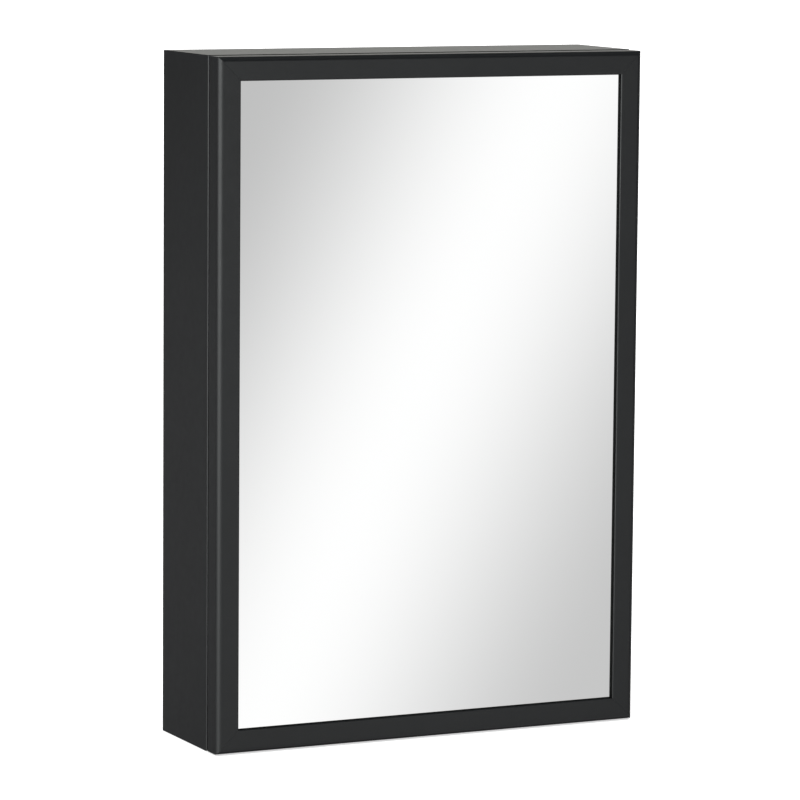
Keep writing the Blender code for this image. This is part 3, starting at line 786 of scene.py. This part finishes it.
def arm_section():
    """The arm from above: the bent strip that runs into its eye, and the eye's bore."""
    half, bend = ARM_THICKNESS / 2, ARM_BEND
    turn = math.radians(ARM_TURN)
    aside = ARM_NECK - ARM_FLAT - 2 * bend * (1 - math.cos(turn))
    back = 2 * bend * math.sin(turn) + aside / math.tan(turn)
    lap = math.asin(half / EYE_RADIUS)
    path = [(HINGE_X + EYE_RADIUS * math.cos(lap), HINGE_Y)]
    path += arc((ARM_NECK - bend, HINGE_Y + bend), bend, -90, 0, 12)
    path += arc((ARM_NECK - bend, ARM_SHOULDER), bend, 0, ARM_TURN, 8)
    path += arc((ARM_FLAT + bend, ARM_SHOULDER + back), bend, 180 + ARM_TURN, 180, 8)
    path.append((ARM_FLAT, ARM_END + OVERCUT))
    start = math.degrees(lap)
    eye = arc((HINGE_X, HINGE_Y), EYE_RADIUS, -start, start - 360, 44)[1:-1]
    bore = arc((HINGE_X, HINGE_Y), EYE_BORE, 0, 360, 32)[:-1]
    return [thick_line(path, half) + eye, bore]


def arm_trim():
    """The arm from its side, drawn wide up to the rounded corners of its rear end."""
    half = ARM_HEIGHT / 2
    wide = half + OVERCUT
    rear = ARM_END - ARM_CORNER
    side = half - ARM_CORNER + ARM_CORNER_OVERCUT
    lower = [(0, -wide), (rear, -wide)] + arc((rear, -side), ARM_CORNER, -90, 0, 8)
    upper = arc((rear, side), ARM_CORNER, 0, 90, 8) + [(rear, wide), (0, wide)]
    return [lower + upper]


def hinge_arm(name, height):
    """A strip bent into a gooseneck, with an eye for the pin and rounded rear corners."""
    reach = ARM_HEIGHT / 2
    strip = extruded(arm_section(), -reach, reach, lambda x, y, z: place(x, y, height + z))
    obj = piece(f"{name}_strip", strip, ZINC, "cabinet", "zinc_steel", name)
    trim = extruded(arm_trim(), 0, ARM_TRIM_DEPTH, lambda y, z, x: place(x, y, height + z))
    cut(obj, trim, operation="INTERSECT")
    holes = [(ARM_FLAT, y, z) for x, y, z in SCREWS["_arm_screw_"] if abs(z - height) < reach]
    cut(obj, rods(holes, SCREW_HOLE, SHEET_CUT, (1, 0, 0)))
    soften(obj, ARM_EDGE, segments=2)


def hinge_block(name, height):
    """A cast block in the stile; its two lugs carry the pin above and below the arm."""
    low, high = node_box(name)
    obj = piece(f"{name}_casting", block(low, high), ZINC, "door", "zinc_steel", name)
    notch = BLOCK_NOTCH / 2
    cut(obj, block((0, BLOCK_WEB, height - notch), (high.x + OVERCUT, DOOR_DEPTH, height + notch)))
    soften(obj, BLOCK_EDGE)
    bore = HINGE_PIN_RADIUS + HINGE_PIN_CLEARANCE
    cut(obj, rods([(HINGE_X, HINGE_Y, height)], bore, BLOCK_CUT, (0, 0, 1), 32))
    seats = [(x, high.y, z) for x, y, z in SCREWS["_block_screw_"] if abs(z - height) < BLOCK_NOTCH]
    cut(obj, rods(seats, SCREW_HOLE, SEAT_CUT, (0, 1, 0)))
    soften(obj, 0)


def hinges():
    for level, height in zip(("lower", "upper"), HINGE_HEIGHTS):
        hinge_arm(f"{level}_hinge_arm", height)
        hinge_block(f"{level}_hinge_block", height)
        name = f"{level}_hinge_pin"
        low, high = node_box(name)
        half = (high.z - low.z) / 2
        profile = [(0, half), (HINGE_PIN_RADIUS, half), (HINGE_PIN_RADIUS, -half), (0, -half)]
        mesh = turned_mesh(eased(profile, HINGE_PIN_EDGE, 4), (HINGE_X, HINGE_Y, height), (0, 0, 1))
        soften(piece(f"{name}_rod", mesh, ZINC, "door", "zinc_steel", name), 0)


def catch():
    """A moulded case, open at its front, round a magnet between two steel poles."""
    name = "catch_case"
    case = piece(f"{name}_shell", block(*node_box(name)), PLASTIC, "cabinet", "black_plastic", name)
    soften(case, CASE_EDGE, segments=5)
    name = "catch_magnet"
    low, high = node_box(name)
    gap = Vector((MAGNET_CLEARANCE, MAGNET_CLEARANCE, MAGNET_CLEARANCE))
    window_low, window_high = low - gap, high + gap
    window_low.y = DOOR_DEPTH
    cut(case, block(window_low, window_high))
    cut(case, rods(SCREWS["catch_screw_"], SCREW_HOLE, CASE_CUT, (1, 0, 0)))
    soften(case, CASE_WINDOW_EDGE, segments=2, angle=60)
    magnet = piece(f"{name}_poles", block(low, high), ZINC, "cabinet", "zinc_steel", name)
    soften(magnet, MAGNET_EDGE)
    middle = (low.x + high.x) / 2
    floor = low.y + POLE_GROOVE_DEPTH
    for x in (middle - POLE_GROOVE_OFFSET, middle + POLE_GROOVE_OFFSET):
        start = (x - POLE_GROOVE_HALF, low.y - OVERCUT, low.z - OVERCUT)
        cut(magnet, block(start, (x + POLE_GROOVE_HALF, floor, high.z + OVERCUT)))
    soften(magnet, 0)


def catch_plate():
    """The steel plate on the door that the magnet holds."""
    low, high = node_box("catch_plate")
    corners = [(low.x, low.z), (high.x, low.z), (high.x, high.z), (low.x, high.z)]
    outline = eased(corners, PLATE_CORNER, closed=True)
    mesh = extruded([outline], low.y, high.y, lambda x, z, y: place(x, y, z))
    obj = piece("catch_plate_steel", mesh, ZINC, "door", "zinc_steel", "catch_plate")
    cut(obj, rods(SCREWS["catch_plate_screw"], PLATE_HOLE, PLATE_CUT, (0, 1, 0), 28))
    soften(obj, PLATE_EDGE)


def bumpers():
    for name in named("_bumper"):
        low, high = node_box(name)
        middle = (low + high) / 2
        middle.y = low.y
        radius, rise = (high.x - low.x) / 2, high.y - low.y
        profile = domed(radius, rise, BUMPER_BRIM) + [(radius, 0), (0, 0)]
        mesh = turned_mesh(profile, middle, (0, 1, 0), 40)
        soften(piece(f"{name}_dome", mesh, RUBBER, "door", "rubber", name), 0)


def keyhole(x, front, rear):
    """A cutter for a keyhole slot: a round hole below a narrower slot."""
    half = KEYHOLE_SLOT / 2
    start = math.degrees(math.asin(half / KEYHOLE_RADIUS))
    outline = arc((0, 0), KEYHOLE_RADIUS, 90 - start, -270 + start, 40)
    outline += arc((0, KEYHOLE_RISE), half, 180, 0, 16)
    front, rear = front - OVERCUT, rear + OVERCUT
    return extruded([outline], front, rear, lambda a, b, y: place(x + a, y, KEYHOLE_HEIGHT + b))


def sheets():
    """The cabinet's back with its keyholes, and the sheet that closes the door."""
    name = "cabinet_back_sheet"
    low, high = node_box(name)
    back = piece("cabinet_back_panel", block(low, high), COAT, "cabinet", "coated_sheet", name)
    columns = (WIDTH / 2 - KEYHOLE_SPREAD, WIDTH / 2 + KEYHOLE_SPREAD)
    cut(back, *[keyhole(x, low.y, high.y) for x in columns])
    holes = [(x, low.y, LOWER_HOLE_HEIGHT) for x in columns]
    cut(back, rods(holes, LOWER_HOLE_RADIUS, SHEET_CUT, (0, 1, 0), 32))
    soften(back, SHEET_EDGE, segments=2)
    name = "door_rear_sheet"
    low, high = node_box(name)
    door = piece("door_rear_panel", block(low, high), COAT, "door", "coated_sheet", name)
    cut(door, *[pocket(height) for height in HINGE_HEIGHTS])
    holes = []
    for kind, centres in SCREWS.items():
        if "sheet" in kind or "plate" in kind:
            holes += [(x, low.y, z) for x, y, z in centres]
    cut(door, rods(holes, SCREW_HOLE, SHEET_CUT, (0, 1, 0), 16))
    soften(door, SHEET_EDGE, segments=2)


def dress_the_rest():
    """The hidden board and corner keys keep their CAD shapes and get finishes."""
    for word, finish in (("backing_board", BOARD), ("_key_", ZINC)):
        for name in named(word):
            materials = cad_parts[name].data.materials
            materials.clear()
            materials.append(finish)


# ------------------------------------------------------------------ stage, light and camera

# The camera looks along +Y, turned to the right and tilted down. Its place is in metres, its lens
# and sensor are in millimetres.
CAMERA_PLACE = Vector((-1.6554, -3.4392, 0.7763))
CAMERA_YAW = math.radians(25.678)
CAMERA_PITCH = math.radians(7.237)
CAMERA_ROLL = math.radians(0.489)
CAMERA_LENS = 196.07
CAMERA_SENSOR = 36.0


def camera_axes():
    """The camera's right, up and forward directions."""
    flat = math.cos(CAMERA_PITCH)
    forward = Vector((math.sin(CAMERA_YAW) * flat, math.cos(CAMERA_YAW) * flat, -math.sin(CAMERA_PITCH)))
    right = Vector((math.cos(CAMERA_YAW), -math.sin(CAMERA_YAW), 0))
    up = right.cross(forward)
    turn = Matrix.Rotation(-CAMERA_ROLL, 3, forward)
    return turn @ right, turn @ up, forward


def add_camera():
    data = bpy.data.cameras.new("camera")
    data.lens = CAMERA_LENS
    data.sensor_width = CAMERA_SENSOR
    data.clip_start, data.clip_end = 0.1, 60.0
    camera = bpy.data.objects.new("camera", data)
    bpy.context.scene.collection.objects.link(camera)
    right, up, forward = camera_axes()
    turn = Matrix((right, up, -forward)).transposed().to_4x4()
    camera.matrix_world = Matrix.Translation(CAMERA_PLACE) @ turn
    bpy.context.scene.camera = camera


FLOOR_DROP = 0.4  # just clear of the cabinet's base
FLOOR_REACH = 20.0  # metres to each side
FLOOR_GLOW = 0.6  # keeps it near white up to the cabinet


def add_floor():
    bm = bmesh.new()
    bmesh.ops.create_grid(bm, x_segments=1, y_segments=1, size=FLOOR_REACH)
    mesh = bpy.data.meshes.new("floor")
    bm.to_mesh(mesh)
    bm.free()
    floor = bpy.data.objects.new("floor", mesh)
    floor.location.z = -FLOOR_DROP * MM
    bpy.context.scene.collection.objects.link(floor)
    made = Shader("pale_floor")
    made.colour(made.mottled((0.86, 0.86, 0.86), (0.88, 0.88, 0.88), 2))
    made.set(roughness=0.9, specular_ior_level=0.0)
    made.set(emission_color=(1, 1, 1, 1), emission_strength=FLOOR_GLOW)
    mesh.materials.append(made.material)
    floor.visible_glossy = False


# The studio as the coat reflects it: soft cards at an azimuth (from -Y towards +X) and an elevation,
# each with its half width and half height in degrees, its brightness and its tint
CARDS = (
    (-53, 1.5, 46, 12.5, 3.9, (0.98, 1.015, 1.005)),
    (4, -4, 30, 14, 0.72, (0.98, 1.015, 1.005)),
    (14, -2.5, 6, 6, 1.3, (0.98, 1.015, 1.005)),
    (154, 12, 36, 30, 0.57, (1.02, 1.02, 0.96)),
    (-156, -8.7, 34, 4.8, 0.165, (1.00, 1.00, 1.01)),
    (-108, 0, 26, 40, 0.40, (0.99, 1.00, 1.02)),
    (10, -45, 60, 28, 0.42, (1.00, 1.00, 1.00)),
    (0, 62, 50, 30, 0.13, (1.00, 1.00, 1.00)),
    (100, 5, 40, 30, 0.22, (1.00, 1.00, 1.02)),
    (118, -25, 50, 15, 0.60, (1.00, 1.00, 1.00)),
)
CARD_CORE, CARD_RIM = 0.35, 1.45  # squares of the shares of its size where it starts and stops fading
CARD_BACK = 0.2  # keeps a card to its own half of the sky
STUDIO_BASE = 0.06
OVERHEAD_STRENGTH, OVERHEAD_ANGLE = 3.2, math.radians(60)

# The mirror's own diagonal band, round the direction in which it reflects the camera's axis
BAND_SLANT = math.radians(24.5)
BAND_OFFSET = 0.0024
BAND_HALF_WIDTH = 0.0649
BAND_PEAK = 1.067
BAND_LOW = (0.561, 0.606)  # brightness on its two sides
BAND_REGION = (math.radians(7.5), math.radians(5.2))  # where it starts and where it is full


def towards(azimuth, elevation):
    """A unit vector, with the level and the rising unit vectors across it; angles in radians."""
    flat = math.cos(elevation)
    out = Vector((math.sin(azimuth) * flat, -math.cos(azimuth) * flat, math.sin(elevation)))
    level = Vector((math.cos(azimuth), math.sin(azimuth), 0))
    return out, level, out.cross(level)


class Sky(Nodes):
    """The world's node tree, with short calls for the sums that make up its light."""

    def __init__(self):
        world = bpy.data.worlds.new("studio")
        bpy.context.scene.world = world
        world.use_nodes = True
        super().__init__(world.node_tree)
        self.tree.nodes.clear()
        self.direction = self.node("ShaderNodeTexCoord").outputs["Generated"]

    def feed(self, value, socket):
        """Link a socket or set a number or colour."""
        if isinstance(value, bpy.types.NodeSocket):
            self.link(value, socket)
        else:
            socket.default_value = value

    def along(self, vector):
        """How far the sky's direction goes along a vector."""
        dot = self.node("ShaderNodeVectorMath", operation="DOT_PRODUCT")
        self.feed(self.direction, dot.inputs[0])
        dot.inputs[1].default_value = vector
        return dot.outputs["Value"]

    def maths(self, operation, first, second=0.0):
        made = self.node("ShaderNodeMath", operation=operation)
        self.feed(first, made.inputs[0])
        self.feed(second, made.inputs[1])
        return made.outputs["Value"]

    def fade(self, value, start, end, low, high):
        """A value that goes smoothly from low to high while another goes from start to end."""
        remap = self.node("ShaderNodeMapRange", interpolation_type="SMOOTHSTEP")
        sockets = ("Value", "From Min", "From Max", "To Min", "To Max")
        for key, number in zip(sockets, (value, start, end, low, high)):
            self.feed(number, remap.inputs[key])
        return remap.outputs["Result"]

    def card(self, azimuth, elevation, half_width, half_height, brightness, tint):
        """A soft oval card, as a colour."""
        out, level, rising = towards(math.radians(azimuth), math.radians(elevation))
        wide = self.maths("DIVIDE", self.along(level), math.sin(math.radians(half_width)))
        high = self.maths("DIVIDE", self.along(rising), math.sin(math.radians(half_height)))
        reach = self.maths("ADD", self.maths("MULTIPLY", wide, wide), self.maths("MULTIPLY", high, high))
        value = self.fade(reach, CARD_CORE, CARD_RIM, brightness, 0)
        value = self.maths("MULTIPLY", value, self.fade(self.along(out), 0, CARD_BACK, 0, 1))
        scale = self.node("ShaderNodeVectorMath", operation="SCALE")
        scale.inputs[0].default_value = tint
        self.feed(value, scale.inputs["Scale"])
        return scale.outputs["Vector"]

    def add(self, first, second):
        made = self.node("ShaderNodeVectorMath", operation="ADD")
        self.feed(first, made.inputs[0])
        self.feed(second, made.inputs[1])
        return made.outputs["Vector"]

    def background(self, colour):
        made = self.node("ShaderNodeBackground")
        self.feed(colour, made.inputs["Color"])
        return made.outputs["Background"]


def add_studio():
    """Soft cards for the coat and a diagonal band for the mirror; the camera itself sees white."""
    sky = Sky()
    total = (STUDIO_BASE, STUDIO_BASE, STUDIO_BASE)
    for card in CARDS:
        total = sky.add(total, sky.card(*card))
    centre, level, rising = towards(CAMERA_YAW, -CAMERA_PITCH)
    across = math.cos(BAND_SLANT) * level - math.sin(BAND_SLANT) * rising
    offset = sky.maths("SUBTRACT", sky.along(across), BAND_OFFSET)
    side = sky.fade(offset, -BAND_HALF_WIDTH, BAND_HALF_WIDTH, *BAND_LOW)
    bell = sky.fade(sky.maths("ABSOLUTE", offset), 0, BAND_HALF_WIDTH, 1, 0)
    band = sky.maths("ADD", side, sky.maths("MULTIPLY", bell, sky.maths("SUBTRACT", BAND_PEAK, side)))
    outer, inner = [math.cos(angle) for angle in BAND_REGION]
    near = sky.fade(sky.along(centre), outer, inner, 0, 1)
    mix = sky.node("ShaderNodeMix", data_type="RGBA")
    sky.feed(near, mix.inputs["Factor"])
    sky.feed(total, mix.inputs["A"])
    sky.feed(band, mix.inputs["B"])
    shown = sky.node("ShaderNodeMixShader")
    sky.feed(sky.node("ShaderNodeLightPath").outputs["Is Camera Ray"], shown.inputs["Fac"])
    sky.feed(sky.background(mix.outputs["Result"]), shown.inputs[1])
    sky.feed(sky.background((1, 1, 1, 1)), shown.inputs[2])
    sky.feed(shown.outputs["Shader"], sky.node("ShaderNodeOutputWorld").inputs["Surface"])


def add_lights():
    """An even overhead light for the floor, which the coat and the mirror do not show."""
    data = bpy.data.lights.new("overhead", "SUN")
    data.energy = OVERHEAD_STRENGTH
    data.angle = OVERHEAD_ANGLE
    lamp = bpy.data.objects.new("overhead", data)
    bpy.context.scene.collection.objects.link(lamp)
    lamp.visible_glossy = False


add_camera()
cabinet_shell()
door_shell()
mirror_panel()
mirror_painted_shade_seal()
sheets()
glass_shelves()
shelf_pins()
hinges()
catch()
catch_plate()
bumpers()
all_screws()
dress_the_rest()
add_floor()
add_studio()
add_lights()
bpy.context.scene.view_settings.view_transform = "Standard"
